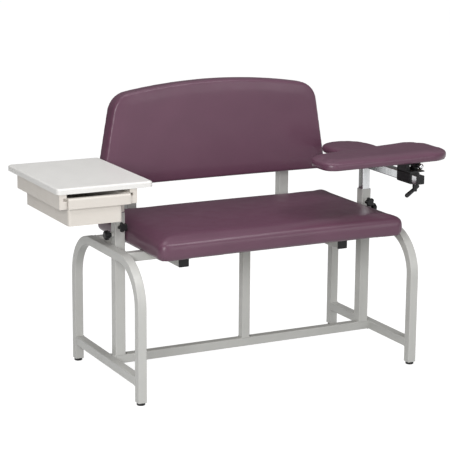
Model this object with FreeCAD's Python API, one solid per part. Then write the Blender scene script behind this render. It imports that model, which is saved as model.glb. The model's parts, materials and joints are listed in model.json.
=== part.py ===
import FreeCAD, Part
import math
import os

V = FreeCAD.Vector
X = V(1, 0, 0)
Y = V(0, 1, 0)
Z = V(0, 0, 1)

# An extra-wide phlebotomy chair, in millimetres. The sitter faces -Y and +Z is up.
# The working origin is on the floor, midway between the side frames. At the end everything
# moves so that the middle of the whole chair's footprint is at the origin.

# Clearances and small shared sizes
slide_gap = 0.1         # a plastic liner or foot to the post that slides on it
sleeve_gap = 0.25       # an arm tube to the sleeve round it
stud_gap = 0.06         # a stud or pin to its hole, radial
seat_gap = 0.3          # a part that stops just short of its neighbour
overrun = 2.0           # how far a cutting tool runs past the piece

# Frame of bent square tube
frame_spacing = 1085.0      # between the two side frames' tube centres
leg_spacing = 568.0         # front leg centre to rear leg centre
frame_top = 501.0
leg_tube = 31.75
tube_wall = 2.0
tube_corner = 3.0
frame_bend = 150.0          # centreline radius of an arch's corners
stretcher_height = 81.0     # centre of the low stretchers
seat_rail_spacing = 270.0   # front seat rail centre to rear seat rail centre

# Glides under the legs
glide_height = 10.0
glide_diameter = 30.0
glide_edge = 2.5
plug_depth = 24.0

# Back supports, which run under the seat and turn up behind the backrest
support_tube = 38.1
support_spacing = 640.0
support_front = -156.0
support_bend = 76.0
support_top = 925.0
cap_thickness = 4.0

# Posts beside the seat
post_tube = 38.1
post_inset = 6.0            # from a side frame's inner face to the post beside it
post_top = 612.0
spacer_width = 28.0
liner_length = 38.0
nut_radius = 9.0
nut_length = 8.0
front_lock_drop = 45.0      # from a post's top down to the knob on its front
side_lock_drop = 78.0       # and down to the knob on its outboard side

# Inner posts and the slide tubes that they carry
slide_tube = 31.75
post_engagement = 270.0     # how far an inner post reaches down into its outer post at rest
foot_length = 30.0
table_tube_rise = 21.0      # a slide tube's centre above the outer post's top, at rest
table_tube_front = -16.0
table_tube_rear = 202.0
arm_tube_rise = 99.0
arm_tube_front = -374.0
arm_tube_rear = 150.0

# Sleeves that run on the slide tubes
sleeve_wall = 4.5
sleeve_length = 85.0
sleeve_corner = 6.0
table_sleeve_front = 20.0
arm_sleeve_front = -340.0

# Knobs and the clamp lever
knob_radius = 17.0
knob_head = 17.0
knob_neck = 8.0
knob_neck_radius = 8.0
knob_lobes = 5
knob_scallop_share = 0.42   # scallop radius as a share of the knob's radius
knob_scallop_depth_share = 0.34
knob_dome_share = 0.35
stud_radius = 4.0
washer_radius = 14.0
washer_thickness = 2.0
lever_boss_radius = 9.5
lever_boss_taper = 1.5
lever_boss_height = 29.0
lever_root_drop = 20.0      # from the sleeve down to the handle's line at the bolt
lever_reach = 40.0
lever_tail = 14.0           # how far the handle runs on past the bolt
lever_root_radius = 6.5
lever_tip_radius = 8.0
lever_droop = 32.0          # degrees below level
lever_heading = 184.0       # degrees from +X, seen from above
lever_from_front = 12.0     # bolt centre behind the sleeve's front
lever_outboard = 10.0       # bolt centre outboard of the slide tube's centre

# Seat
seat_width = 971.0
seat_depth = 575.0
seat_front = -320.0
seat_thickness = 70.0
seat_corner = 30.0
seat_draw = 5.0             # how far each side is drawn in between its corners
board_thickness = 12.0
board_inset = 26.0
seat_screw_spread = 760.0

# Backrest
back_front = 223.0
back_depth = 68.0
back_bottom = 649.5
back_bottom_half = 470.0
back_shoulder_half = 412.5
back_shoulder_height = 332.0    # above the backrest's bottom edge
back_crown_rise = 40.0          # the arched top, above the shoulders
back_corner = 24.0
back_shoulder_corner = 83.0
back_bolt_low = 90.0
back_bolt_high = 240.0
bolt_radius = 4.0
bolt_head_radius = 8.5
bolt_head_height = 5.0

# Table top, its rails and drawer
bracket_height = 83.375     # from the table sleeve's top up to the table's underside
table_thickness = 20.0
table_left = -805.0
table_width = 347.0
table_front = -205.0
table_depth = 486.0
table_corner = 14.0
table_edge = 7.0
rail_width = 26.0
rail_height = 51.0
rail_setback = 5.0          # rail ends behind the table's front edge
rail_rear_setback = 78.0    # and ahead of its rear edge
rail_wall = 3.0
rail_inset = 9.0            # left rail's outer face in from the table's left edge
groove_height = 10.0
groove_depth = 12.0
groove_drop = 14.0          # from the table's underside to the groove
drawer_wall = 2.5
drawer_side_gap = 6.0       # from the left rail's inner face to the tray's wall
drawer_right_gap = 27.0     # and from the right rail's
drawer_depth_below = 60.0   # tray below the rails
drawer_corner = 10.0
drawer_flange = 8.0
drawer_lip_height = 36.0
drawer_lip_reach = 14.0
drawer_lip_gap = 2.0
drawer_lip_round = 7.0
drawer_finger_radius = 4.0
bracket_thickness = 4.0
bracket_flange = 50.0
bracket_inset = 6.0         # web in from the sleeve's outboard face
screw_inset_share = 0.2     # from each end of a bracket, as a share of its length
screw_radius = 2.0
screw_head_radius = 4.5
screw_head_height = 2.6
head_taper_share = 0.6

# Side pad on the arm tube
pad_thickness = 32.0
side_pad_thickness = 28.0
pad_board_thickness = 9.0
pad_board_inset = 16.0
side_pad_centre = 497.0
side_pad_front = -60.0
side_pad_rear = 216.0
side_pad_front_radius = 95.0
side_pad_rear_radius = 98.0
side_pad_bulge = 4.0
pad_mount_thickness = 6.0
pad_mount_width = 60.0
pad_mount_front = -20.0
pad_mount_rear = 140.0

# Flip pad across the front of the sitter
flip_pad_rise = 16.0        # its underside above the hinge axis
flip_left = 132.0
flip_right = 683.0
flip_left_front = -362.0    # where its sides would meet without their round corners
flip_right_front = -337.0
flip_right_rear = -68.0
flip_left_rear = -184.0
flip_left_front_radius = 50.0
flip_right_front_radius = 105.0
flip_right_rear_radius = 78.0
flip_left_rear_radius = 105.0
flip_bulge = 2.0

# Flip hinge on the arm sleeve
hinge_outboard = 33.0       # hinge axis outboard of the slide tube's centre
hinge_rise = 38.0           # hinge axis above the slide tube's centre
hinge_setback = 27.0        # hinge behind the sleeve's front
knuckle_radius = 7.5
hinge_pin_radius = 4.0
ear_width = 15.0
hinge_plate = 4.0
flip_plate_left = 465.0
flip_plate_right = 546.0
base_plate = 4.5
rest_width = 16.0
ball_radius = 10.5
ball_overlap_share = 0.9    # of the ball's radius, from its centre to the pin's end
pin_neck = 4.0
ring_radius = 7.0
ring_thickness = 2.0

# Places worked out from the sizes above
side_x = frame_spacing / 2
side_inner_x = side_x - leg_tube / 2
leg_y = leg_spacing / 2
arch_z = frame_top - leg_tube / 2
stretcher_top = stretcher_height + leg_tube / 2
rail_y = seat_rail_spacing / 2
post_x = side_inner_x - post_inset - post_tube / 2
support_x = support_spacing / 2
support_z = frame_top - leg_tube - support_tube / 2
back_rear = back_front + back_depth
support_y = back_rear + support_tube / 2
slide_bore = slide_tube + 2 * sleeve_gap
sleeve_size = slide_bore + 2 * sleeve_wall
table_tube_height = post_top + table_tube_rise
arm_tube_height = post_top + arm_tube_rise
hinge_height = arm_tube_height + hinge_rise
flip_pad_bottom = hinge_height + flip_pad_rise
table_underside = table_tube_height + sleeve_size / 2 + bracket_height
table_rear = table_front + table_depth
rail_left_x = table_left + rail_inset
rail_bottom = table_underside - rail_height
hinge_x = post_x + hinge_outboard
pad_mount_bottom = arm_tube_height + slide_tube / 2
side_pad_bottom = pad_mount_bottom + pad_mount_thickness
arm_sleeve_rear = arm_sleeve_front + sleeve_length
hinge_front = arm_sleeve_front + hinge_setback
table_sleeve_rear = table_sleeve_front + sleeve_length
bracket_outer_x = -post_x - sleeve_size / 2 + bracket_inset


def unit(vector):
    """The vector at a length of one."""
    return V(vector).multiply(1 / vector.Length)


def box(low, high):
    """A box between two corners."""
    size = high - low
    return Part.makeBox(size.x, size.y, size.z, low)


def arc(a, middle, b):
    return Part.Arc(a, middle, b).toShape()


def line(a, b):
    return Part.LineSegment(a, b).toShape()


def rounded_loop(width, depth, corner, z=0.0):
    """A rectangle with rounded corners, centred on the origin at height z."""
    knee = corner * (1 - math.sqrt(0.5))
    edges = []
    for quarter in range(4):
        along, out = (width / 2, depth / 2) if quarter % 2 == 0 else (depth / 2, width / 2)
        turn = FreeCAD.Rotation(Z, 90 * quarter)
        start = turn.multVec(V(corner - along, -out, z))
        end = turn.multVec(V(along - corner, -out, z))
        middle = turn.multVec(V(along - knee, knee - out, z))
        stop = turn.multVec(V(along, corner - out, z))
        edges += [line(start, end), arc(end, middle, stop)]
    return Part.Wire(edges)


def hollow_section(size, wall, corner):
    """The section of a square tube."""
    inner = size - 2 * wall
    outer_face = Part.Face(rounded_loop(size, size, corner))
    inner_face = Part.Face(rounded_loop(inner, inner, max(corner - wall, wall / 4)))
    return outer_face.cut(inner_face).Faces[0]


def straight_tube(start, end, size, wall=tube_wall, corner=tube_corner):
    """A square tube from start to end."""
    section = hollow_section(size, wall, corner)
    section.Placement = FreeCAD.Placement(start, FreeCAD.Rotation(Z, end - start))
    return section.extrude(end - start)


def bent_tube(points, radius, size):
    """A square tube along a path with right-angled bends of the given centreline radius."""
    shapes = []
    start = points[0]
    for here, onward in zip(points[1:], points[2:] + [None]):
        heading = unit(here - start)
        if onward is None:
            shapes.append(straight_tube(start, here, size))
            break
        stop = here - heading * radius
        turned = unit(onward - here)
        shapes.append(straight_tube(start, stop, size))
        section = hollow_section(size, tube_wall, tube_corner)
        section.Placement = FreeCAD.Placement(stop, FreeCAD.Rotation(Z, heading))
        shapes.append(section.revolve(stop + turned * radius, heading.cross(turned), 90))
        start = here + turned * radius
    return shapes[0].multiFuse(shapes[1:]).removeSplitter()


def tube_plug(end, outward, size, thickness=cap_thickness, depth=plug_depth):
    """A black plug with a flat head, in the end of a square tube."""
    bore = size - 2 * tube_wall
    head = Part.Face(rounded_loop(size, size, tube_corner)).extrude(Z * thickness)
    stem = Part.Face(rounded_loop(bore, bore, tube_wall / 2)).extrude(Z * -depth)
    plug = head.fuse(stem).removeSplitter()
    plug.Placement = FreeCAD.Placement(end, FreeCAD.Rotation(Z, outward))
    return plug


def star_knob(base, axis, stud_length):
    """A lobed knob on a stud: the neck starts at base, the head is along axis and the stud runs back."""
    reach = knob_neck + knob_head
    dome = knob_head * knob_dome_share
    profile = Part.Wire([
        line(V(0, 0, 0), V(knob_neck_radius, 0, 0)),
        line(V(knob_neck_radius, 0, 0), V(knob_neck_radius, 0, knob_neck)),
        line(V(knob_neck_radius, 0, knob_neck), V(knob_radius, 0, knob_neck)),
        line(V(knob_radius, 0, knob_neck), V(knob_radius, 0, reach - dome)),
        arc(V(knob_radius, 0, reach - dome),
            V(knob_radius - dome * (1 - math.sqrt(0.5)), 0, reach - dome * (1 - math.sqrt(0.5))),
            V(knob_radius - dome, 0, reach)),
        line(V(knob_radius - dome, 0, reach), V(0, 0, reach)),
        line(V(0, 0, reach), V(0, 0, 0)),
    ])
    body = Part.Face(profile).revolve(V(0, 0, 0), Z, 360)
    scallop = knob_radius * knob_scallop_share
    distance = knob_radius + scallop - knob_radius * knob_scallop_depth_share
    for lobe in range(knob_lobes):
        angle = math.radians(360 * lobe / knob_lobes)
        centre = V(distance * math.cos(angle), distance * math.sin(angle), knob_neck)
        body = body.cut(Part.makeCylinder(scallop, knob_head + overrun, centre))
    stud = Part.makeCylinder(stud_radius, stud_length, V(0, 0, 0), -Z)
    place = FreeCAD.Placement(base, FreeCAD.Rotation(Z, axis))
    for shape in (body, stud):
        shape.Placement = place
    return body, stud


def soft_loop(corners, radii, bulges, z):
    """A closed loop through rounded corners, whose sides bow out by their bulge, or in if it is negative."""
    count = len(corners)
    leaving, arriving = [], []
    for i in range(count):
        chord = corners[(i + 1) % count] - corners[i]
        swing = math.degrees(2 * math.atan(2 * bulges[i] / chord.Length))
        leaving.append(FreeCAD.Rotation(Z, -swing).multVec(unit(chord)))
        arriving.append(FreeCAD.Rotation(Z, swing).multVec(unit(chord)))
    starts, ends, knees = [], [], []
    for i in range(count):
        back, ahead = -arriving[i - 1], leaving[i]
        half_turn = (math.pi - back.getAngle(ahead)) / 2
        step = radii[i] * math.tan(half_turn)
        starts.append(corners[i] + back * step)
        ends.append(corners[i] + ahead * step)
        knees.append(corners[i] + unit(back + ahead) * (radii[i] / math.cos(half_turn) - radii[i]))
    edges = []
    lift = V(0, 0, z)
    for i in range(count):
        after = (i + 1) % count
        a, b = ends[i] + lift, starts[after] + lift
        chord = corners[after] - corners[i]
        share = (b - a).Length / chord.Length
        outward = unit(V(chord.y, -chord.x, 0))
        edges.append(arc(starts[i] + lift, knees[i] + lift, ends[i] + lift))
        if bulges[i]:
            edges.append(arc(a, (a + b) * 0.5 + outward * (bulges[i] * share * share), b))
        else:
            edges.append(line(a, b))
    return Part.Wire(edges)


def oval_loop(a, b, radius_a, radius_b, bulge, inset, z):
    """A closed loop round two circles, whose two long sides bow out by bulge."""
    heading = unit(b - a)
    across = Z.cross(heading)
    lift = V(0, 0, z)
    edges = []
    ends = []
    for centre, radius, outward in ((a, radius_a - inset, -heading), (b, radius_b - inset, heading)):
        side = across if outward.dot(heading) < 0 else -across
        middle = centre + lift + outward * radius
        first, last = centre + lift + side * radius, centre + lift - side * radius
        for p, q in ((side, outward), (outward, -side)):
            knee = centre + lift + unit(p + q) * radius
            edges.append(arc(centre + lift + p * radius, knee, centre + lift + q * radius))
        ends.append((first, middle, last))
    front_a, front_b = ends[0][2], ends[1][0]
    rear_b, rear_a = ends[1][2], ends[0][0]
    edges.insert(2, arc(front_a, (front_a + front_b) * 0.5 - across * bulge, front_b))
    edges.append(arc(rear_b, (rear_a + rear_b) * 0.5 + across * bulge, rear_a))
    return Part.Wire(edges)


# How a cushion's outline draws in with height: shares of its thickness, and insets in mm
seat_profile = [(0.0, 5.0), (0.12, 1.0), (0.5, 0.0), (0.78, 2.0), (0.92, 9.0), (0.985, 26.0), (1.0, 90.0)]
pad_profile = [(0.0, 5.0), (0.2, 1.0), (0.5, 0.0), (0.75, 3.0), (0.9, 10.0), (0.98, 24.0), (1.0, 48.0)]


def cushion(loop_at, thickness, profile):
    """A crowned cushion: a loft through its outline at several heights."""
    wires = [loop_at(inset, share * thickness) for share, inset in profile]
    return Part.makeLoft(wires, True, True)


def bar_screw(head_seat, axis, length, radius, head_radius, head_height):
    """A pan-head screw: the head's flat is at head_seat and the shank runs along axis."""
    shank = Part.makeCylinder(radius, length, head_seat, axis)
    head = Part.makeCone(head_radius, head_radius * head_taper_share, head_height, head_seat, -axis)
    return shank.fuse(head)


def make_frame():
    parts, stretchers = {}, []
    for side, x in (("left", -side_x), ("right", side_x)):
        path = [V(x, -leg_y, glide_height), V(x, -leg_y, arch_z),
                V(x, leg_y, arch_z), V(x, leg_y, glide_height)]
        parts[side + "_side_frame"] = bent_tube(path, frame_bend, leg_tube)
        ends = leg_y - leg_tube / 2
        front, rear = V(x, -ends, stretcher_height), V(x, ends, stretcher_height)
        stretchers.append(straight_tube(front, rear, leg_tube))
    parts["side_stretchers"] = Part.makeCompound(stretchers)
    parts["cross_stretcher"] = straight_tube(
        V(-side_inner_x, 0, stretcher_height), V(side_inner_x, 0, stretcher_height), leg_tube)
    for name, y in (("front_seat_rail", -rail_y), ("rear_seat_rail", rail_y)):
        rail = straight_tube(V(-side_inner_x, y, arch_z), V(side_inner_x, y, arch_z), leg_tube)
        for x in (-seat_screw_spread / 2, seat_screw_spread / 2):
            hole = Part.makeCylinder(bolt_radius + stud_gap, leg_tube + 2 * overrun,
                                     V(x, y, frame_top - leg_tube - overrun))
            rail = rail.cut(hole)
        parts[name] = rail
    inner_y = rail_y - leg_tube / 2
    parts["centre_seat_rail"] = straight_tube(V(0, -inner_y, arch_z), V(0, inner_y, arch_z), leg_tube)
    parts["centre_leg"] = straight_tube(V(0, 0, stretcher_top), V(0, 0, frame_top - leg_tube), leg_tube)
    return parts


def make_glides():
    """Four moulded glides, each a round foot with a square stem up inside its leg."""
    bore = leg_tube - 2 * tube_wall
    feet = []
    for x in (-side_x, side_x):
        for y in (-leg_y, leg_y):
            foot = Part.makeCylinder(glide_diameter / 2, glide_height, V(x, y, 0))
            rim = [e for e in foot.Edges if e.Length > glide_diameter and e.CenterOfMass.z < glide_edge]
            foot = foot.makeFillet(glide_edge, rim[:1])
            stem = Part.Face(rounded_loop(bore, bore, tube_wall / 2)).extrude(Z * plug_depth)
            stem.translate(V(x, y, glide_height))
            feet.append(foot.fuse(stem))
    return {"leg_glides": Part.makeCompound(feet)}


def make_supports():
    """The two back supports, with their plugs and the bolts that hold the backrest."""
    parts, plugs, bolts = {}, [], []
    front = support_front + cap_thickness
    for side, x in (("left", -support_x), ("right", support_x)):
        path = [V(x, front, support_z), V(x, support_y, support_z), V(x, support_y, support_top)]
        tube = bent_tube(path, support_bend, support_tube)
        for height in (back_bolt_low, back_bolt_high):
            z = back_bottom + height
            seat = V(x, support_y + support_tube / 2, z)
            hole = Part.makeCylinder(bolt_radius + stud_gap, support_tube + 2 * overrun,
                                     seat + Y * overrun, -Y)
            tube = tube.cut(hole)
            bolts.append(bar_screw(seat, -Y, support_tube + board_thickness - overrun, bolt_radius,
                                   bolt_head_radius, bolt_head_height))
        parts[side + "_back_support"] = tube
        plugs.append(tube_plug(V(x, front, support_z), -Y, support_tube))
        plugs.append(tube_plug(V(x, support_y, support_top), Z, support_tube))
    parts["back_support_plugs"] = Part.makeCompound(plugs)
    parts["back_bolts"] = Part.makeCompound(bolts)
    return parts


def lock_faces(x):
    """Where two locking knobs go on a post: a name, the middle of the wall and its outward direction."""
    outward = X if x > 0 else -X
    return (("height", V(x, -post_tube / 2, post_top - front_lock_drop), -Y),
            ("side", V(x, 0, post_top - side_lock_drop) + outward * (post_tube / 2), outward))


def make_outer_posts():
    """The two posts beside the seat, each with two welded nuts for its knobs and a liner at its top."""
    parts, spacers, liners = {}, [], []
    bore = post_tube - 2 * tube_wall
    for side, x in (("table", -post_x), ("arm", post_x)):
        post = straight_tube(V(x, 0, stretcher_top), V(x, 0, post_top), post_tube)
        for _, face, outward in lock_faces(x):
            post = post.fuse(Part.makeCylinder(nut_radius, nut_length, face, outward))
        for _, face, outward in lock_faces(x):
            hole = Part.makeCylinder(stud_radius + stud_gap, nut_length + 2 * tube_wall,
                                     face + outward * nut_length, -outward)
            post = post.cut(hole)
        parts[side + "_outer_post"] = post
        gap = slide_tube + 2 * slide_gap
        ring = Part.Face(rounded_loop(bore, bore, tube_wall / 2)).cut(
            Part.Face(rounded_loop(gap, gap, tube_corner)))
        liner = ring.Faces[0].extrude(Z * liner_length)
        liner.translate(V(x, 0, post_top - liner_length))
        liners.append(liner)
        outer_face = side_inner_x - post_inset
        near, far = sorted((math.copysign(outer_face, x), math.copysign(side_inner_x, x)))
        spacers.append(box(V(near, -spacer_width / 2, arch_z - spacer_width / 2),
                           V(far, spacer_width / 2, arch_z + spacer_width / 2)))
    parts["post_liners"] = Part.makeCompound(liners)
    parts["post_spacers"] = Part.makeCompound(spacers)
    return parts


def make_seat():
    """The seat cushion over its board, and the screws that hold the board to the seat rails."""
    middle_y = seat_front + seat_depth / 2

    def loop_at(inset, z):
        x, y = seat_width / 2 - inset, seat_depth / 2 - inset
        corners = [V(-x, -y, 0), V(x, -y, 0), V(x, y, 0), V(-x, y, 0)]
        return soft_loop(corners, [seat_corner - min(inset, seat_corner / 2)] * 4, [-seat_draw] * 4, z)

    pad = cushion(loop_at, seat_thickness, seat_profile)
    pad.translate(V(0, middle_y, frame_top))
    wide = seat_width - 2 * board_inset
    deep = seat_depth - 2 * board_inset
    board = Part.Face(rounded_loop(wide, deep, seat_corner)).extrude(Z * board_thickness)
    board.translate(V(0, middle_y, frame_top))
    screws = []
    for x in (-seat_screw_spread / 2, seat_screw_spread / 2):
        for y in (-rail_y, rail_y):
            start = V(x, y, frame_top - leg_tube)
            length = leg_tube + board_thickness - overrun
            screws.append(bar_screw(start, Z, length, bolt_radius, bolt_head_radius, bolt_head_height))
            board = board.cut(Part.makeCylinder(bolt_radius + stud_gap, length, start))
    solid_board = Part.Face(rounded_loop(wide, deep, seat_corner)).extrude(Z * board_thickness)
    solid_board.translate(V(0, middle_y, frame_top))
    return {"seat_cushion": pad.cut(solid_board), "seat_board": board,
            "seat_screws": Part.makeCompound(screws)}


def back_loop(inset, z):
    """The backrest's outline: a wide foot, sides that lean in, round shoulders and an arched top."""
    low, high = back_bottom_half - inset, back_shoulder_half - inset
    corners = [V(-low, inset, 0), V(low, inset, 0),
               V(high, back_shoulder_height - inset, 0), V(-high, back_shoulder_height - inset, 0)]
    small = min(inset, back_corner / 2)
    radii = [back_corner - small, back_corner - small,
             back_shoulder_corner - small, back_shoulder_corner - small]
    return soft_loop(corners, radii, [-seat_draw / 2, 0, back_crown_rise, 0], z)


def make_back():
    """The backrest cushion and the board behind it."""
    place = FreeCAD.Placement(V(0, back_rear, back_bottom), FreeCAD.Rotation(X, 90))
    pad = cushion(back_loop, back_depth, seat_profile)
    blank = Part.Face(back_loop(board_inset, 0)).extrude(Z * board_thickness)
    pad.Placement = place
    blank.Placement = place
    board = blank.copy()
    for x in (-support_x, support_x):
        for height in (back_bolt_low, back_bolt_high):
            hole = Part.makeCylinder(bolt_radius + stud_gap, board_thickness - overrun + seat_gap,
                                     V(x, back_rear, back_bottom + height), -Y)
            board = board.cut(hole)
    return {"back_cushion": pad.cut(blank), "back_board": board}


def make_slide_carrier(name, x, tube_z, tube_front, tube_rear):
    """An inner post with its foot, and the slide tube with end plugs across its top."""
    bottom = tube_z - slide_tube / 2 - post_engagement
    post = straight_tube(V(x, 0, bottom), V(x, 0, tube_z - slide_tube / 2), slide_tube)
    tube = straight_tube(V(x, tube_front, tube_z), V(x, tube_rear, tube_z), slide_tube)
    bore = post_tube - 2 * tube_wall - 2 * slide_gap
    foot = Part.Face(rounded_loop(bore, bore, tube_wall / 2)).extrude(Z * cap_thickness)
    stem_size = slide_tube - 2 * tube_wall
    stem = Part.Face(rounded_loop(stem_size, stem_size, tube_wall / 2)).extrude(Z * foot_length)
    foot = foot.fuse(stem)
    foot.translate(V(x, 0, bottom - cap_thickness))
    plugs = [tube_plug(V(x, tube_front, tube_z), -Y, slide_tube),
             tube_plug(V(x, tube_rear, tube_z), Y, slide_tube)]
    return {name + "_inner_post": post, name + "_slide_tube": tube, name + "_post_foot": foot,
            name + "_tube_plugs": Part.makeCompound(plugs)}


def make_sleeve(x, tube_z, front, hole_x, hole_y):
    """A black sleeve round a slide tube, with the hole for its clamp stud underneath."""
    sleeve = straight_tube(V(x, front, tube_z), V(x, front + sleeve_length, tube_z), sleeve_size,
                           sleeve_wall, sleeve_corner)
    hole = Part.makeCylinder(stud_radius + stud_gap, sleeve_wall + 2 * overrun,
                             V(hole_x, hole_y, tube_z - sleeve_size / 2 - overrun))
    return sleeve.cut(hole)


def make_table():
    """The table top on its bracket, the drawer rails and the drawer."""
    middle = V(table_left + table_width / 2, table_front + table_depth / 2, table_underside)
    top = Part.Face(rounded_loop(table_width, table_depth, table_corner)).extrude(Z * table_thickness)
    rim = [e for e in top.Edges if abs(e.CenterOfMass.z - table_thickness) < table_edge / 10]
    top = top.makeFillet(table_edge, rim)
    top.translate(middle)
    parts = {"table_top": top}
    front, rear = table_front + rail_setback, table_rear - rail_rear_setback
    right_outer = bracket_outer_x
    for side, outer, inward in (("left", rail_left_x, 1), ("right", right_outer, -1)):
        inner = outer + inward * rail_width
        rail = box(V(min(outer, inner), front, rail_bottom), V(max(outer, inner), rear, table_underside))
        top_of_groove = table_underside - groove_drop
        slot_x = sorted((inner + inward * overrun, inner - inward * groove_depth))
        groove = box(V(slot_x[0], front - overrun, top_of_groove - groove_height),
                     V(slot_x[1], rear + overrun, top_of_groove))
        hollow = box(V(min(outer, inner) + rail_wall, front + rail_wall, rail_bottom + rail_wall),
                     V(max(outer, inner) - rail_wall, rear + overrun,
                       top_of_groove - groove_height - rail_wall))
        parts[side + "_drawer_rail"] = rail.cut(groove).cut(hollow)
    parts["drawer"] = make_drawer(rail_left_x + rail_width, right_outer - rail_width, front, rear)
    low = table_tube_height + sleeve_size / 2
    web, right = bracket_outer_x + bracket_thickness, -post_x + sleeve_size / 2
    flange = bracket_outer_x + bracket_flange
    outline = [V(bracket_outer_x, 0, low), V(right, 0, low), V(right, 0, low + bracket_thickness),
               V(web, 0, low + bracket_thickness), V(web, 0, table_underside - bracket_thickness),
               V(flange, 0, table_underside - bracket_thickness), V(flange, 0, table_underside),
               V(bracket_outer_x, 0, table_underside)]
    bracket = Part.Face(Part.makePolygon(outline + outline[:1])).extrude(Y * sleeve_length)
    bracket.translate(V(0, table_sleeve_front, 0))
    screws = []
    screw_x = (web + flange) / 2
    step = sleeve_length * screw_inset_share
    for y in (table_sleeve_front + step, table_sleeve_rear - step):
        seat = V(screw_x, y, table_underside - bracket_thickness)
        length = bracket_thickness + table_thickness / 2
        screws.append(bar_screw(seat, Z, length, screw_radius, screw_head_radius, screw_head_height))
        hole = Part.makeCylinder(screw_radius + stud_gap, length + stud_gap, seat)
        bracket = bracket.cut(hole)
        parts["table_top"] = parts["table_top"].cut(hole)
    parts["table_bracket"] = bracket
    parts["table_screws"] = Part.makeCompound(screws)
    return parts


def make_drawer(left, right, front, rear):
    """A moulded drawer: a tray that hangs in the rails by its flanges, with a rounded front lip."""
    middle_y = (front + rear + drawer_lip_gap) / 2
    tray_left, tray_right = left + drawer_side_gap, right - drawer_right_gap
    tray_middle = (tray_left + tray_right) / 2
    width = tray_right - tray_left
    depth = rear - front - drawer_lip_gap
    groove_top = table_underside - groove_drop
    top = groove_top - seat_gap
    bottom = rail_bottom - drawer_depth_below
    tray = Part.Face(rounded_loop(width, depth, drawer_corner)).extrude(Z * (top - bottom))
    hollow = Part.Face(rounded_loop(width - 2 * drawer_wall, depth - 2 * drawer_wall,
                                    drawer_corner - drawer_wall)).extrude(Z * (top - bottom))
    hollow.translate(Z * drawer_wall)
    flange_width = right - left + 2 * drawer_flange
    flange_height = groove_height - 2 * seat_gap
    flange = Part.Face(rounded_loop(flange_width, depth - 2 * drawer_corner, drawer_wall)).extrude(
        Z * flange_height)
    flange.translate(V((left + right) / 2 - tray_middle, 0, top - bottom - flange_height))
    tray = tray.fuse(flange).cut(hollow)
    tray.translate(V(tray_middle, middle_y, bottom))
    lip_left, lip_right = left + drawer_lip_gap, right - drawer_lip_gap
    lip_rear = front + drawer_lip_gap
    lip = box(V(lip_left, lip_rear - drawer_lip_reach, top - drawer_lip_height), V(lip_right, lip_rear, top))
    front_edges = [e for e in lip.Edges
                   if abs(e.CenterOfMass.y - lip_rear + drawer_lip_reach) < drawer_wall
                   and abs(e.CenterOfMass.z - top) < drawer_wall]
    lip = lip.makeFillet(drawer_lip_round, front_edges)
    finger = Part.makeCylinder(drawer_finger_radius, lip_right - lip_left + 2 * overrun,
                               V(lip_left - overrun, lip_rear - drawer_lip_reach / 2,
                                 top - drawer_lip_height), X)
    join = box(V(tray_left + drawer_corner, lip_rear - overrun, top - drawer_lip_height),
               V(tray_right - drawer_corner, lip_rear + drawer_wall, top))
    return tray.fuse(lip.cut(finger)).fuse(join).removeSplitter()


def flip_loop(inset, z):
    """The flip pad's outline: four round corners, wider at the hinge's end."""
    corners = [V(flip_left, flip_left_front, 0), V(flip_right, flip_right_front, 0),
               V(flip_right, flip_right_rear, 0), V(flip_left, flip_left_rear, 0)]
    radii = [flip_left_front_radius, flip_right_front_radius, flip_right_rear_radius, flip_left_rear_radius]
    moved = []
    for i, corner in enumerate(corners):
        back, ahead = unit(corners[i - 1] - corner), unit(corners[(i + 1) % 4] - corner)
        half = back.getAngle(ahead) / 2
        moved.append(corner + unit(back + ahead) * (inset / math.sin(half)))
    radii = [radius - min(inset, radius / 2) for radius in radii]
    return soft_loop(moved, radii, [0, 0, flip_bulge, 0], z)


def side_loop(inset, z):
    """The side pad's outline, round at both ends."""
    rear = V(side_pad_centre, side_pad_rear - side_pad_rear_radius, 0)
    front = V(side_pad_centre, side_pad_front + side_pad_front_radius, 0)
    return oval_loop(rear, front, side_pad_rear_radius, side_pad_front_radius, side_pad_bulge, inset, z)


def make_pads():
    """The side pad on its mounting plate and the flip pad, each a cushion over its board."""
    half = pad_mount_width / 2
    parts = {"side_pad_mount": box(V(side_pad_centre - half, pad_mount_front, pad_mount_bottom),
                                   V(side_pad_centre + half, pad_mount_rear, side_pad_bottom))}
    pads = (("side_pad", side_loop, side_pad_bottom, side_pad_thickness),
            ("flip_pad", flip_loop, flip_pad_bottom, pad_thickness))
    for name, loop_at, bottom, thickness in pads:
        pad = cushion(loop_at, thickness, pad_profile)
        board = Part.Face(loop_at(pad_board_inset, 0)).extrude(Z * pad_board_thickness)
        for shape in (pad, board):
            shape.translate(Z * bottom)
        parts[name] = pad.cut(board)
        parts[name + "_board"] = board
    return parts


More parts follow.
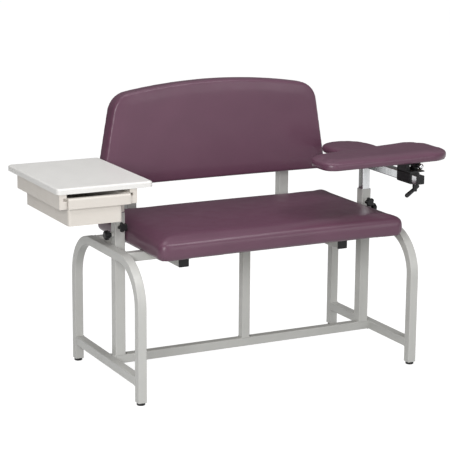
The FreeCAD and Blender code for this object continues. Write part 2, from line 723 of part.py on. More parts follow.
def make_flip_hinge():
    """The hinge under the flip pad: a base on the sleeve, a plate with two ears, and the ball-headed pin."""
    sleeve_top = arm_tube_height + sleeve_size / 2
    sleeve_left = post_x - sleeve_size / 2
    rear = arm_sleeve_rear
    knuckle_front, knuckle_rear = hinge_front + ear_width + seat_gap, rear - ear_width - seat_gap
    base = box(V(sleeve_left, arm_sleeve_front, sleeve_top),
               V(hinge_x + knuckle_radius, rear, sleeve_top + base_plate))
    web = box(V(hinge_x - knuckle_radius, knuckle_front, sleeve_top),
              V(hinge_x + knuckle_radius, knuckle_rear, hinge_height))
    barrel = Part.makeCylinder(knuckle_radius, knuckle_rear - knuckle_front,
                               V(hinge_x, knuckle_front, hinge_height), Y)
    plate_bottom = flip_pad_bottom - hinge_plate
    rest = box(V(sleeve_left, hinge_front, sleeve_top), V(sleeve_left + rest_width, rear, plate_bottom))
    bore = Part.makeCylinder(hinge_pin_radius + stud_gap, sleeve_length + 2 * overrun,
                             V(hinge_x, arm_sleeve_front - overrun, hinge_height), Y)
    base = base.fuse([web, barrel, rest]).removeSplitter().cut(bore)
    plate = box(V(flip_plate_left, hinge_front, plate_bottom), V(flip_plate_right, rear, flip_pad_bottom))
    ears = []
    for start in (hinge_front, rear - ear_width):
        ears.append(Part.makeCylinder(knuckle_radius, ear_width, V(hinge_x, start, hinge_height), Y))
        ears.append(box(V(hinge_x - knuckle_radius, start, hinge_height),
                        V(hinge_x + knuckle_radius, start + ear_width, flip_pad_bottom)))
    plate = plate.fuse(ears).removeSplitter().cut(bore)
    pin_front = V(hinge_x, hinge_front - pin_neck, hinge_height)
    pin = Part.makeCylinder(hinge_pin_radius, rear + ring_thickness * 2 - pin_front.y, pin_front, Y)
    ball = Part.makeSphere(ball_radius, pin_front - Y * (ball_radius * ball_overlap_share))
    ring_seat = V(hinge_x, rear, hinge_height)
    ring = Part.makeCylinder(ring_radius, ring_thickness, ring_seat, Y)
    ring = ring.cut(Part.makeCylinder(hinge_pin_radius + stud_gap, ring_thickness, ring_seat, Y))
    return {"flip_hinge_base": base, "flip_hinge_plate": plate, "hinge_pin": pin.fuse(ball),
            "hinge_pin_ring": ring}


def make_clamp_lever(bolt):
    """The clamp lever under the arm sleeve: a tapered boss with a drooping handle, and its stud."""
    boss = Part.makeCone(lever_boss_radius, lever_boss_radius - lever_boss_taper, lever_boss_height, bolt, -Z)
    heading = math.radians(lever_heading)
    droop = math.radians(lever_droop)
    direction = V(math.cos(heading) * math.cos(droop), math.sin(heading) * math.cos(droop),
                  -math.sin(droop))
    root = bolt - Z * lever_root_drop
    tail = root - direction * lever_tail
    handle = Part.makeCone(lever_root_radius, lever_tip_radius, lever_reach + lever_tail, tail, direction)
    tip = Part.makeSphere(lever_tip_radius, root + direction * lever_reach)
    end = Part.makeSphere(lever_root_radius, tail)
    stud = Part.makeCylinder(stud_radius, sleeve_wall + sleeve_gap, bolt)
    return {"clamp_lever": boss.fuse([handle, tip, end]).removeSplitter(), "clamp_lever_stud": stud}


def make_knobs():
    """The star knobs: two on each outer post, and one with a washer under the table sleeve."""
    parts = {}
    reach = nut_length + post_tube / 2 - slide_tube / 2
    for side, x in (("table", -post_x), ("arm", post_x)):
        for lock, face, outward in lock_faces(x):
            knob, stud = star_knob(face + outward * (nut_length + seat_gap), outward, reach + seat_gap)
            parts[side + "_" + lock + "_knob"] = knob
            parts[side + "_" + lock + "_stud"] = stud
    under = V(-post_x, table_sleeve_front + sleeve_length / 2, table_tube_height - sleeve_size / 2)
    base = under - Z * (washer_thickness + seat_gap)
    knob, stud = star_knob(base, -Z, sleeve_wall + washer_thickness + seat_gap)
    washer = Part.makeCylinder(washer_radius, washer_thickness, base)
    washer = washer.cut(Part.makeCylinder(stud_radius, washer_thickness, base))
    parts.update({"table_slide_knob": knob, "table_slide_stud": stud, "table_slide_washer": washer})
    return parts


def build():
    parts = {}
    parts.update(make_frame())
    parts.update(make_glides())
    parts.update(make_supports())
    parts.update(make_outer_posts())
    parts.update(make_seat())
    parts.update(make_back())
    parts.update(make_slide_carrier("table", -post_x, table_tube_height, table_tube_front, table_tube_rear))
    parts.update(make_slide_carrier("arm", post_x, arm_tube_height, arm_tube_front, arm_tube_rear))
    table_stud_y = table_sleeve_front + sleeve_length / 2
    parts["table_sleeve"] = make_sleeve(-post_x, table_tube_height, table_sleeve_front, -post_x, table_stud_y)
    bolt = V(post_x + lever_outboard, arm_sleeve_front + lever_from_front,
             arm_tube_height - sleeve_size / 2)
    parts["arm_sleeve"] = make_sleeve(post_x, arm_tube_height, arm_sleeve_front, bolt.x, bolt.y)
    parts.update(make_table())
    parts.update(make_pads())
    parts.update(make_flip_hinge())
    parts.update(make_clamp_lever(bolt - Z * seat_gap))
    parts.update(make_knobs())
    return parts


# The chair's footprint, whose middle becomes the origin
foot_left = table_left
foot_right = flip_right
foot_front = arm_tube_front - cap_thickness
foot_rear = support_y + support_tube / 2 + bolt_head_height
home = V(-(foot_left + foot_right) / 2, -(foot_front + foot_rear) / 2, 0)

solids = build()
os.makedirs("parts", exist_ok=True)
for name, shape in solids.items():
    shape.translate(home)
    shape.exportStep("parts/" + name + ".step")
print(len(solids), "nodes")
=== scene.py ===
import json
import math

import bpy
import numpy as np
from mathutils import Matrix, Vector


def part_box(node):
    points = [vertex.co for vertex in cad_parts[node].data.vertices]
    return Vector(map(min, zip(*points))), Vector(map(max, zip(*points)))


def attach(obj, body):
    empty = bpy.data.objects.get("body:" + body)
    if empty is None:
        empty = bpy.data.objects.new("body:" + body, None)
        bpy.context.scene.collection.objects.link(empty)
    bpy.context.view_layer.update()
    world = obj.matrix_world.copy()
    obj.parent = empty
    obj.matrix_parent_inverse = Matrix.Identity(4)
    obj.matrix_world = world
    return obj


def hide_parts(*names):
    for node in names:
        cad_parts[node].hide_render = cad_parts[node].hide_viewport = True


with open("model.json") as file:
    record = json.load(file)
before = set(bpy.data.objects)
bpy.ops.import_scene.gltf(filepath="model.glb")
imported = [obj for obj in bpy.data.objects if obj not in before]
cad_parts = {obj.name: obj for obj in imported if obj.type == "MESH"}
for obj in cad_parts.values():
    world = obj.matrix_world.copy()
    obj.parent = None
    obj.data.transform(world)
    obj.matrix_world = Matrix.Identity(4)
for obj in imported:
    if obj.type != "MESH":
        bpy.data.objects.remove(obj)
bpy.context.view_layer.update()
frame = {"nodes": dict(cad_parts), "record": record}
scene = bpy.context.scene
scene.view_settings.view_transform = "Standard"

MM = 0.001
X, Y, Z = 0, 1, 2
TINY = 1e-9                 # keeps a divisor away from zero

low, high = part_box("cross_stretcher")
HOME = (low + high) / 2     # the floor under the cross stretcher's middle, in the row frame
HOME.z = 0.0
FRAME_TOP = 501.0           # the tops of the seat rails, which the seat rests on


def at(x, y, z):
    """A point in the row frame, in metres, from the chair's own millimetres."""
    return HOME + Vector((x, y, z)) * MM


# Materials

NOISE_LOW, NOISE_HIGH = 0.3, 0.7        # where most of a noise pattern's values lie


class Shade:
    """A node material round one Principled shader, with patterns in object coordinates."""

    def __init__(self, name, color, roughness, metallic=0.0, specular=0.5):
        self.color = color
        self.material = bpy.data.materials.new(name)
        self.material.use_nodes = True
        self.tree = self.material.node_tree
        self.shader = self.tree.nodes["Principled BSDF"]
        self.shader.inputs["Base Color"].default_value = (*color, 1)
        self.shader.inputs["Roughness"].default_value = roughness
        self.shader.inputs["Metallic"].default_value = metallic
        self.shader.inputs["Specular IOR Level"].default_value = specular
        self.material.diffuse_color = (*color, 1)
        self.coordinates = self.tree.nodes.new("ShaderNodeTexCoord").outputs["Object"]
        self.height = None

    def link(self, output, target):
        self.tree.links.new(output, target)

    def stretched(self, scale):
        mapping = self.tree.nodes.new("ShaderNodeMapping")
        mapping.inputs["Scale"].default_value = scale
        self.link(self.coordinates, mapping.inputs["Vector"])
        return mapping.outputs["Vector"]

    def noise(self, scale, detail, vector=None, distortion=0.0):
        node = self.tree.nodes.new("ShaderNodeTexNoise")
        node.inputs["Scale"].default_value = scale
        node.inputs["Detail"].default_value = detail
        node.inputs["Distortion"].default_value = distortion
        self.link(vector or self.coordinates, node.inputs["Vector"])
        return node.outputs["Fac"]

    def cells(self, scale, feature="F1"):
        node = self.tree.nodes.new("ShaderNodeTexVoronoi")
        node.feature = feature
        node.inputs["Scale"].default_value = scale
        self.link(self.coordinates, node.inputs["Vector"])
        return node.outputs["Distance"]

    def spread(self, value, from_low, from_high, to_low, to_high):
        node = self.tree.nodes.new("ShaderNodeMapRange")
        for key, number in (("From Min", from_low), ("From Max", from_high),
                            ("To Min", to_low), ("To Max", to_high)):
            node.inputs[key].default_value = number
        self.link(value, node.inputs["Value"])
        return node.outputs["Result"]

    def tint(self, factor, low_color, middle_color, high_color, low_stop=NOISE_LOW, high_stop=NOISE_HIGH):
        """Colours the surface by the factor, through three stops of which the middle one is at 0.5."""
        ramp = self.tree.nodes.new("ShaderNodeValToRGB")
        elements = ramp.color_ramp.elements
        elements.new(0.5)
        stops = ((low_stop, low_color), (0.5, middle_color), (high_stop, high_color))
        for element, (place, color) in zip(elements, stops):
            element.position = place
            element.color = (*color, 1)
        self.link(factor, ramp.inputs["Fac"])
        self.link(ramp.outputs["Color"], self.shader.inputs["Base Color"])

    def vary(self, share, scale):
        """Colours the surface in soft patches, darker and lighter than its colour by the share."""
        dark = tuple(c * (1 - share) for c in self.color)
        light = tuple(min(1, c * (1 + share)) for c in self.color)
        self.tint(self.noise(scale, detail=4), dark, self.color, light)

    def rough(self, factor, smooth, coarse):
        roughness = self.spread(factor, NOISE_LOW, NOISE_HIGH, smooth, coarse)
        self.link(roughness, self.shader.inputs["Roughness"])

    def bump(self, value, strength, distance):
        """Adds a bump, whose distance is in metres, to those that the surface has."""
        node = self.tree.nodes.new("ShaderNodeBump")
        node.inputs["Strength"].default_value = strength
        node.inputs["Distance"].default_value = distance
        self.link(value, node.inputs["Height"])
        if self.height is not None:
            self.link(self.height, node.inputs["Normal"])
        self.height = node.outputs["Normal"]
        self.link(self.height, self.shader.inputs["Normal"])

    def glow_when_seen(self, strength):
        """Makes the surface bright to the camera and in mirrors, but not a light on what stands near it."""
        rays = self.tree.nodes.new("ShaderNodeLightPath").outputs
        total = rays["Is Camera Ray"]
        for name in ("Is Glossy Ray", "Is Transmission Ray"):
            add = self.tree.nodes.new("ShaderNodeMath")
            self.link(total, add.inputs[0])
            self.link(rays[name], add.inputs[1])
            total = add.outputs["Value"]
        self.shader.inputs["Emission Color"].default_value = (1, 1, 1, 1)
        self.link(self.spread(total, 0, 1, 0, strength), self.shader.inputs["Emission Strength"])


BRIGHT_METAL = (0.58, 0.59, 0.60)
TRAY = (0.65, 0.61, 0.56)
PLY_DARK, PLY, PLY_LIGHT = (0.36, 0.24, 0.13), (0.50, 0.36, 0.22), (0.60, 0.46, 0.30)

vinyl = Shade("vinyl", (0.112, 0.046, 0.077), roughness=0.34, specular=0.45)
vinyl.vary(share=0.05, scale=9)
vinyl.rough(vinyl.noise(scale=22, detail=5), smooth=0.31, coarse=0.38)
vinyl.bump(vinyl.cells(scale=620, feature="SMOOTH_F1"), strength=0.16, distance=0.0003)
vinyl.bump(vinyl.noise(scale=30, detail=3), strength=0.03, distance=0.001)

paint = Shade("frame_paint", (0.52, 0.52, 0.498), roughness=0.38)
paint.vary(share=0.03, scale=12)
paint.rough(paint.noise(scale=60, detail=4), smooth=0.32, coarse=0.44)
paint.bump(paint.noise(scale=420, detail=2), strength=0.08, distance=0.0003)

chrome = Shade("chrome", BRIGHT_METAL, roughness=0.14, metallic=1.0)
chrome.vary(share=0.03, scale=25)
chrome_streaks = chrome.noise(scale=70, detail=5, vector=chrome.stretched((1, 1, 0.15)))
chrome.rough(chrome_streaks, smooth=0.06, coarse=0.12)

zinc = Shade("zinc_steel", BRIGHT_METAL, roughness=0.35, metallic=1.0)
zinc.vary(share=0.08, scale=160)
zinc.rough(zinc.noise(scale=220, detail=4), smooth=0.28, coarse=0.45)

plastic = Shade("black_plastic", (0.010, 0.010, 0.011), roughness=0.42, specular=0.3)
plastic.vary(share=0.15, scale=50)
plastic.rough(plastic.noise(scale=120, detail=3), smooth=0.36, coarse=0.5)
plastic.bump(plastic.cells(scale=900), strength=0.12, distance=0.0002)

steel = Shade("black_steel", (0.012, 0.012, 0.013), roughness=0.34, specular=0.32)
steel.vary(share=0.15, scale=30)
steel.rough(steel.noise(scale=90, detail=3), smooth=0.28, coarse=0.42)
steel.bump(steel.noise(scale=520, detail=2), strength=0.1, distance=0.0003)

ply = Shade("plywood", PLY, roughness=0.6)
ply_grain = ply.noise(scale=14, detail=6, vector=ply.stretched((0.35, 9, 9)), distortion=0.6)
ply.tint(ply_grain, PLY_DARK, PLY, PLY_LIGHT, low_stop=0.25, high_stop=0.75)
ply.rough(ply_grain, smooth=0.5, coarse=0.72)
ply.bump(ply_grain, strength=0.15, distance=0.0004)

laminate = Shade("laminate", (0.74, 0.73, 0.71), roughness=0.40)
laminate.vary(share=0.02, scale=260)
laminate.rough(laminate.noise(scale=30, detail=4), smooth=0.34, coarse=0.46)
laminate.bump(laminate.cells(scale=700), strength=0.06, distance=0.0002)

tray = Shade("tray_plastic", TRAY, roughness=0.42)
tray.vary(share=0.02, scale=10)
tray.rough(tray.noise(scale=40, detail=3), smooth=0.36, coarse=0.48)
tray.bump(tray.noise(scale=600, detail=2), strength=0.06, distance=0.0002)

SLOTS = {"vinyl": vinyl, "frame_paint": paint, "chrome": chrome, "zinc_steel": zinc,
         "black_plastic": plastic, "black_steel": steel, "plywood": ply, "laminate": laminate,
         "tray_plastic": tray}

for part in frame["record"]["subparts"]:
    mesh = frame["nodes"][part["node"]].data
    mesh.materials.clear()
    mesh.materials.append(SLOTS[part["material_slot"]].material)

light_plastic = Shade("light_plastic", TRAY, roughness=0.42)
light_plastic.vary(share=0.03, scale=50)
light_plastic.bump(light_plastic.cells(scale=900), strength=0.12, distance=0.0002)
frame["nodes"]["table_tube_plugs"].data.materials[0] = light_plastic.material


# Meshes

def mesh_piece(name, vertices, faces, shade, body):
    mesh = bpy.data.meshes.new(name)
    mesh.from_pydata([tuple(v) for v in vertices], [], faces)
    mesh.update()
    mesh.shade_smooth()
    mesh.materials.append(shade.material)
    piece = bpy.data.objects.new(name, mesh)
    scene.collection.objects.link(piece)
    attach(piece, body)
    return piece


def vertex_points(mesh):
    values = np.zeros(len(mesh.vertices) * 3)
    mesh.vertices.foreach_get("co", values)
    return values.reshape(-1, 3)


def move_vertices(mesh, points):
    mesh.vertices.foreach_set("co", np.ascontiguousarray(points, float).ravel())
    mesh.update()


def apply_modifiers(piece):
    """Keeps what the piece's modifiers make of it, and drops them."""
    graph = bpy.context.evaluated_depsgraph_get()
    mesh = bpy.data.meshes.new_from_object(piece.evaluated_get(graph), depsgraph=graph)
    piece.modifiers.clear()
    old = piece.data
    piece.data = mesh
    bpy.data.meshes.remove(old)


# Outlines. Each is in its own plane, in millimetres, and goes round anticlockwise.

CORNER_POINTS = 13


def turned(vector, angle):
    c, s = math.cos(angle), math.sin(angle)
    return np.array([c * vector[0] - s * vector[1], s * vector[0] + c * vector[1]])


def circle_point(centre, radius, angle):
    return centre + radius * np.array([math.cos(angle), math.sin(angle)])


def rectangle(width, height):
    x, y = width / 2, height / 2
    return [(-x, -y), (x, -y), (x, y), (-x, y)]


def bowed_side(begin, finish, bow, step):
    """Points strictly between two ends, on a curve that bows out by bow at its middle."""
    span = finish - begin
    length = np.linalg.norm(span)
    outward = np.array([span[1], -span[0]]) / length
    pieces = max(2, int(length / step))
    points = []
    for k in range(1, pieces):
        t = k / pieces
        points.append(begin + span * t + outward * (4 * bow * t * (1 - t)))
    return points


def soft_outline(corners, radii, bulges, step=6.0):
    """Points round rounded corners, with sides that bow out by their bulge, or in if it is negative."""
    corners = [np.array(c, float) for c in corners]
    count = len(corners)
    chords = [corners[(i + 1) % count] - corners[i] for i in range(count)]
    lengths = [np.linalg.norm(c) for c in chords]
    swings = [2 * math.atan(2 * b / size) for b, size in zip(bulges, lengths)]
    leaving = [turned(c / size, -w) for c, size, w in zip(chords, lengths, swings)]
    arriving = [turned(c / size, w) for c, size, w in zip(chords, lengths, swings)]
    arcs = []
    for i in range(count):
        back, ahead = -arriving[i - 1], leaving[i]
        half_turn = (math.pi - math.acos(np.clip(back @ ahead, -1, 1))) / 2
        leg = radii[i] * math.tan(half_turn)
        inward = (back + ahead) / np.linalg.norm(back + ahead)
        centre = corners[i] + inward * (radii[i] / math.cos(half_turn))
        start = corners[i] + back * leg - centre
        angles = math.atan2(start[1], start[0]) + 2 * half_turn * np.linspace(0, 1, CORNER_POINTS)
        arcs.append([circle_point(centre, radii[i], t) for t in angles])
    points = []
    for i in range(count):
        begin, finish = arcs[i][-1], arcs[(i + 1) % count][0]
        straight_share = np.linalg.norm(finish - begin) / lengths[i]
        points += arcs[i] + bowed_side(begin, finish, bulges[i] * straight_share ** 2, step)
    return np.array(points)


def oval_outline(a, b, radius_a, radius_b, bulge, step=5.0):
    """Points round two circles, whose long sides bow out by bulge."""
    a, b = np.array(a, float), np.array(b, float)
    heading = math.atan2(b[1] - a[1], b[0] - a[0])
    ends = []
    for centre, radius, side in ((b, radius_b, -1), (a, radius_a, 1)):
        start = heading + side * math.pi / 2
        pieces = int(math.pi * radius / step)
        ends.append([circle_point(centre, radius, start + math.pi * k / pieces) for k in range(pieces + 1)])
    first, second = ends
    return np.array(first + bowed_side(first[-1], second[0], bulge, step)
                    + second + bowed_side(second[-1], first[0], bulge, step))


def outward_normals(points):
    along = np.roll(points, -1, 0) - np.roll(points, 1, 0)
    normals = np.stack([along[:, 1], -along[:, 0]], 1)
    return normals / np.linalg.norm(normals, axis=1, keepdims=True)


def inset_depth(points, outline):
    """How far each point lies from the outline's nearest side, in millimetres."""
    best = np.full(len(points), np.inf)
    for p, q in zip(outline, np.roll(outline, -1, 0)):
        edge = q - p
        t = np.clip(((points - p) @ edge) / max(edge @ edge, TINY), 0, 1)
        best = np.minimum(best, np.linalg.norm(points - (p + t[:, None] * edge), axis=1))
    return best


def contain(points, outline):
    """Pulls points that lie outside the outline, seen in plan, back to it."""
    middle = outline.mean(0)
    edge = outline - middle
    angles = np.arctan2(edge[:, 1], edge[:, 0])
    order = np.argsort(angles)
    offset = points[:, :2] - middle
    reach = np.linalg.norm(offset, axis=1)
    limit = np.interp(np.arctan2(offset[:, 1], offset[:, 0]), angles[order],
                      np.linalg.norm(edge, axis=1)[order], period=2 * math.pi)
    share = np.minimum(1, limit / np.maximum(reach, TINY))
    points[:, :2] = middle + offset * share[:, None]
    return points


# Cushions

SHRINK = 0.8                # how much smaller than its solid a cushion is before it swells
CROWN_TIP = 0.3             # from a crown's last ring up to its middle
SWELL_FRAMES = 20
PINNED_BELOW = 2.0          # the cloth keeps still what is below this height
BASE_BELOW = 1.5            # and what is below this one is the base, which is then made flat
RECESS_MARGIN = 0.25        # how much further in than its board a recess starts, as a share of a voxel
SIDEWAYS_SHARE = 0.2        # how much of the cloth's sideways movement stays, to keep the outline
RIM_SHARE = 0.2             # how much of its movement stays at the rim, where the cover is pulled tight
RIM_WIDTH = 42.0            # and how far from the rim all of it stays
PLEAT_DEPTH = 2.4
PLEAT_WIDTH = 3.6
PLEAT_STRENGTH = 1.15       # at the base, before it is limited to 1
PLEAT_HEIGHT_SHARE = 0.62   # of the thickness, over which that falls by 1


def cushion_shape(outline, profile, crown, thickness):
    """A closed form: the outline at its profile's heights, then rings that close the crown and the base."""
    normals = outward_normals(outline)
    middle = outline.mean(0)
    count = len(outline)
    rings = []
    for share, inset in profile:
        rings.append(np.column_stack([outline - normals * inset, np.full(count, share * thickness)]))
    rim = rings[-1]
    for scale, lift in crown:
        rings.append(np.column_stack([middle + (rim[:, :2] - middle) * scale, rim[:, 2] + lift]))
    tips = [[*middle, rings[-1][0, 2] + CROWN_TIP], [*middle, 0.0]]
    last = (len(rings) - 1) * count
    top, bottom = last + count, last + count + 1
    faces = []
    for ring in range(0, last, count):
        for i in range(count):
            j = (i + 1) % count
            faces.append((ring + i, ring + j, ring + count + j, ring + count + i))
    for i in range(count):
        j = (i + 1) % count
        faces.append((last + i, last + j, top))
        faces.append((j, i, bottom))
    return np.concatenate([*rings, tips]), faces


def puff(piece, outline, pressure, cap):
    """Inflates the piece as cloth. Its base stays put and no point moves further than cap."""
    before = vertex_points(piece.data)
    group = piece.vertex_groups.new(name="base")
    group.add([int(i) for i in np.nonzero(before[:, 2] < PINNED_BELOW * MM)[0]], 1.0, "REPLACE")
    cloth = piece.modifiers.new("Cloth", "CLOTH")
    cloth.settings.quality = 4
    cloth.settings.mass = 0.3
    cloth.settings.tension_stiffness = 12
    cloth.settings.compression_stiffness = 8
    cloth.settings.shear_stiffness = 6
    cloth.settings.bending_stiffness = 0.8
    cloth.settings.use_pressure = True
    cloth.settings.uniform_pressure_force = pressure
    cloth.settings.effector_weights.gravity = 0
    cloth.settings.vertex_group_mass = "base"
    cloth.point_cache.frame_start = 1
    cloth.point_cache.frame_end = SWELL_FRAMES
    for moment in range(1, SWELL_FRAMES + 1):
        scene.frame_set(moment)
    apply_modifiers(piece)
    scene.frame_set(1)
    piece.vertex_groups.clear()
    move = vertex_points(piece.data) - before
    size = np.linalg.norm(move, axis=1, keepdims=True)
    reach = cap * MM
    limit = reach * np.tanh(size / reach) / np.maximum(size, TINY)
    loose = np.clip(inset_depth(before[:, :2] / MM, outline) / RIM_WIDTH, RIM_SHARE, 1)[:, None]
    after = before + move * limit * loose * np.array([SIDEWAYS_SHARE, SIDEWAYS_SHARE, 1.0])
    after[:, 2] = np.maximum(after[:, 2], 0.0)
    move_vertices(piece.data, after)


def press_pleats(points, pleats, thickness):
    """Presses the short folds of a wrapped corner into the sides. Each has a place and a direction."""
    for x, y, angle in pleats:
        direction = np.array([math.cos(angle), math.sin(angle)])
        across = np.array([-direction[1], direction[0]])
        offset = points[:, :2] - np.array([x, y])
        pressed = (offset @ direction > 0) & (points[:, 2] > BASE_BELOW)
        fade = np.clip(PLEAT_STRENGTH - points[:, 2] / (thickness * PLEAT_HEIGHT_SHARE), 0, 1)
        depth = PLEAT_DEPTH * np.exp(-(offset @ across / PLEAT_WIDTH) ** 2) * fade * pressed
        points[:, :2] -= direction * depth[:, None]
    return points


def make_cushion(name, node, body, outline, profile, crown, thickness, board_inset, board_recess, voxel,
                 pressure, cap, place, pleats=()):
    """A stuffed, vinyl-covered form that stands for a CAD cushion. Its base has a recess for its board."""
    shape = outline - outward_normals(outline) * SHRINK
    vertices, faces = cushion_shape(shape, profile, crown, thickness - SHRINK)
    piece = mesh_piece(name, vertices * MM, faces, vinyl, body)
    remesh = piece.modifiers.new("Remesh", "REMESH")
    remesh.mode = "VOXEL"
    remesh.voxel_size = voxel * MM
    remesh.use_smooth_shade = True
    apply_modifiers(piece)
    puff(piece, outline, pressure, cap)
    smoother = piece.modifiers.new("Smoother", "SMOOTH")
    smoother.factor = 0.5
    smoother.iterations = 2
    finer = piece.modifiers.new("Finer", "SUBSURF")
    finer.levels = 1
    apply_modifiers(piece)
    points = contain(vertex_points(piece.data) / MM, outline)
    points = press_pleats(points, pleats, thickness)
    base = points[:, 2] < BASE_BELOW
    over_board = inset_depth(points[:, :2], outline) > board_inset + voxel * RECESS_MARGIN
    points[base, 2] = 0.0
    points[base & over_board, 2] = board_recess
    move_vertices(piece.data, points * MM)
    piece.data.transform(place)
    piece.data.shade_smooth()
    piece.data.update()
    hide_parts(node)


# Seat

SEAT_WIDTH = 971.0
SEAT_DEPTH = 575.0
SEAT_FRONT = -320.0
SEAT_THICKNESS = 70.0
SEAT_CORNER = 30.0
SEAT_DRAW = 5.0             # how far each side draws in between its corners
BOARD_INSET = 26.0          # of the seat's and the backrest's board, in from the cushion's sides
BOARD_RECESS = 12.4         # the depth of the recess that it lies in
PLEAT_INSET = 34.0          # where a corner's pleats start, in from both of its sides
PLEAT_TURNS = (-0.30, 0.05, 0.34)

# A profile has heights, as shares of the thickness, each with how far the side draws in there.
# A crown has rings, as shares of the size of the profile's last one, each with its height above it.
SEAT_PROFILE = [(0.0, 5.0), (0.08, 1.8), (0.22, 0.3), (0.42, 0.0), (0.6, 0.8), (0.74, 3.6), (0.85, 9.5),
                (0.93, 19.0), (0.98, 33.0)]
CROWN = [(0.9, 0.6), (0.75, 1.2), (0.55, 1.7), (0.35, 2.0), (0.15, 2.1)]

seat_outline = soft_outline(rectangle(SEAT_WIDTH, SEAT_DEPTH), [SEAT_CORNER] * 4, [-SEAT_DRAW] * 4)
seat_pleats = []
for side in (-1, 1):
    for end in (-1, 1):
        for swing in PLEAT_TURNS:
            seat_pleats.append((side * (SEAT_WIDTH / 2 - PLEAT_INSET), end * (SEAT_DEPTH / 2 - PLEAT_INSET),
                                math.atan2(end, side) + swing))
make_cushion("seat_upholstery", "seat_cushion", "base", seat_outline, SEAT_PROFILE, CROWN, SEAT_THICKNESS,
             BOARD_INSET, BOARD_RECESS, voxel=8.0, pressure=3.0, cap=7.0,
             place=Matrix.Translation(at(0, SEAT_FRONT + SEAT_DEPTH / 2, FRAME_TOP)), pleats=seat_pleats)


# Backrest. Its outline lies flat, and is then stood up on its lower edge.

BACK_HALF = 470.0
BACK_SHOULDER_HALF = 412.5
BACK_SHOULDER_HEIGHT = 332.0
BACK_CROWN_RISE = 40.0      # the arched top, above the shoulders
BACK_DRAW = 2.5             # how far the lower edge draws in
BACK_CORNER = 24.0
BACK_SHOULDER_CORNER = 83.0
BACK_THICKNESS = 68.0
BACK_REAR = 291.0
BACK_BOTTOM = 649.5
BACK_PROFILE = [(0.0, 4.0), (0.1, 1.2), (0.3, 0.0), (0.72, 0.0), (0.86, 0.6), (0.93, 2.6), (0.97, 6.0),
                (0.99, 12.0)]

back_outline = soft_outline([(-BACK_HALF, 0), (BACK_HALF, 0), (BACK_SHOULDER_HALF, BACK_SHOULDER_HEIGHT),
                             (-BACK_SHOULDER_HALF, BACK_SHOULDER_HEIGHT)],
                            [BACK_CORNER, BACK_CORNER, BACK_SHOULDER_CORNER, BACK_SHOULDER_CORNER],
                            [-BACK_DRAW, 0, BACK_CROWN_RISE, 0])
back_place = Matrix.Translation(at(0, BACK_REAR, BACK_BOTTOM)) @ Matrix.Rotation(math.pi / 2, 4, "X")
make_cushion("back_upholstery", "back_cushion", "base", back_outline, BACK_PROFILE, CROWN, BACK_THICKNESS,
             BOARD_INSET, BOARD_RECESS, voxel=6.5, pressure=2.0, cap=2.5, place=back_place)


# Arm pads

PAD_BOARD_INSET = 16.0
PAD_BOARD_RECESS = 9.3
PAD_PROFILE = [(0.0, 4.0), (0.15, 1.2), (0.4, 0.0), (0.6, 0.4), (0.76, 2.6), (0.88, 7.5), (0.95, 14.0),
               (0.985, 24.0)]
PAD_CROWN = [(0.8, 0.4), (0.55, 0.8), (0.3, 1.0)]

SIDE_PAD_X = 497.0
SIDE_PAD_REAR_Y, SIDE_PAD_FRONT_Y = 118.0, 35.0     # the centres of its round ends
SIDE_PAD_REAR_RADIUS, SIDE_PAD_FRONT_RADIUS = 98.0, 95.0
SIDE_PAD_BULGE = 4.0
SIDE_PAD_THICKNESS = 28.0
SIDE_PAD_BOTTOM = 732.875

FLIP_PAD_LEFT, FLIP_PAD_RIGHT = 132.0, 683.0
FLIP_PAD_LEFT_FRONT, FLIP_PAD_LEFT_REAR = -362.0, -184.0        # where its sides would meet, unrounded
FLIP_PAD_RIGHT_FRONT, FLIP_PAD_RIGHT_REAR = -337.0, -68.0
FLIP_PAD_RADII = [50.0, 105.0, 78.0, 105.0]         # from the left front corner, anticlockwise
FLIP_PAD_BULGE = 2.0
FLIP_PAD_THICKNESS = 32.0
FLIP_PAD_BOTTOM = 765.0


def make_pad(name, node, body, outline, thickness, bottom):
    make_cushion(name, node, body, outline, PAD_PROFILE, PAD_CROWN, thickness,
                 PAD_BOARD_INSET, PAD_BOARD_RECESS, voxel=5.0, pressure=3.0, cap=4.0,
                 place=Matrix.Translation(at(0, 0, bottom)))


side_outline = oval_outline((SIDE_PAD_X, SIDE_PAD_REAR_Y), (SIDE_PAD_X, SIDE_PAD_FRONT_Y),
                            SIDE_PAD_REAR_RADIUS, SIDE_PAD_FRONT_RADIUS, SIDE_PAD_BULGE)
flip_outline = soft_outline([(FLIP_PAD_LEFT, FLIP_PAD_LEFT_FRONT), (FLIP_PAD_RIGHT, FLIP_PAD_RIGHT_FRONT),
                             (FLIP_PAD_RIGHT, FLIP_PAD_RIGHT_REAR), (FLIP_PAD_LEFT, FLIP_PAD_LEFT_REAR)],
                            FLIP_PAD_RADII, [0, 0, FLIP_PAD_BULGE, 0], step=5.0)
make_pad("side_pad_upholstery", "side_pad", "pad_arm", side_outline, SIDE_PAD_THICKNESS, SIDE_PAD_BOTTOM)
make_pad("flip_pad_upholstery", "flip_pad", "flip_arm", flip_outline, FLIP_PAD_THICKNESS, FLIP_PAD_BOTTOM)


# Weld beads round the frame's joints

TUBE, POST = 31.75, 38.1
FRAME_SPACING = 1085.0      # between the two side frames' tube centres
LEG_SPACING = 568.0
RAIL_SPACING = 270.0
SUPPORT_SPACING = 640.0
STRETCHER_HEIGHT = 81.0     # centre of the low stretchers
POST_INSET = 6.0            # from a side frame's inner face to the post beside it

BEAD_RADIUS = 1.9
BEAD_RIPPLE = 0.45
BEAD_PITCH = 2.6
BEAD_CORNER = 3.0
BEAD_STEP = 1.3
BEAD_SIDES = 8


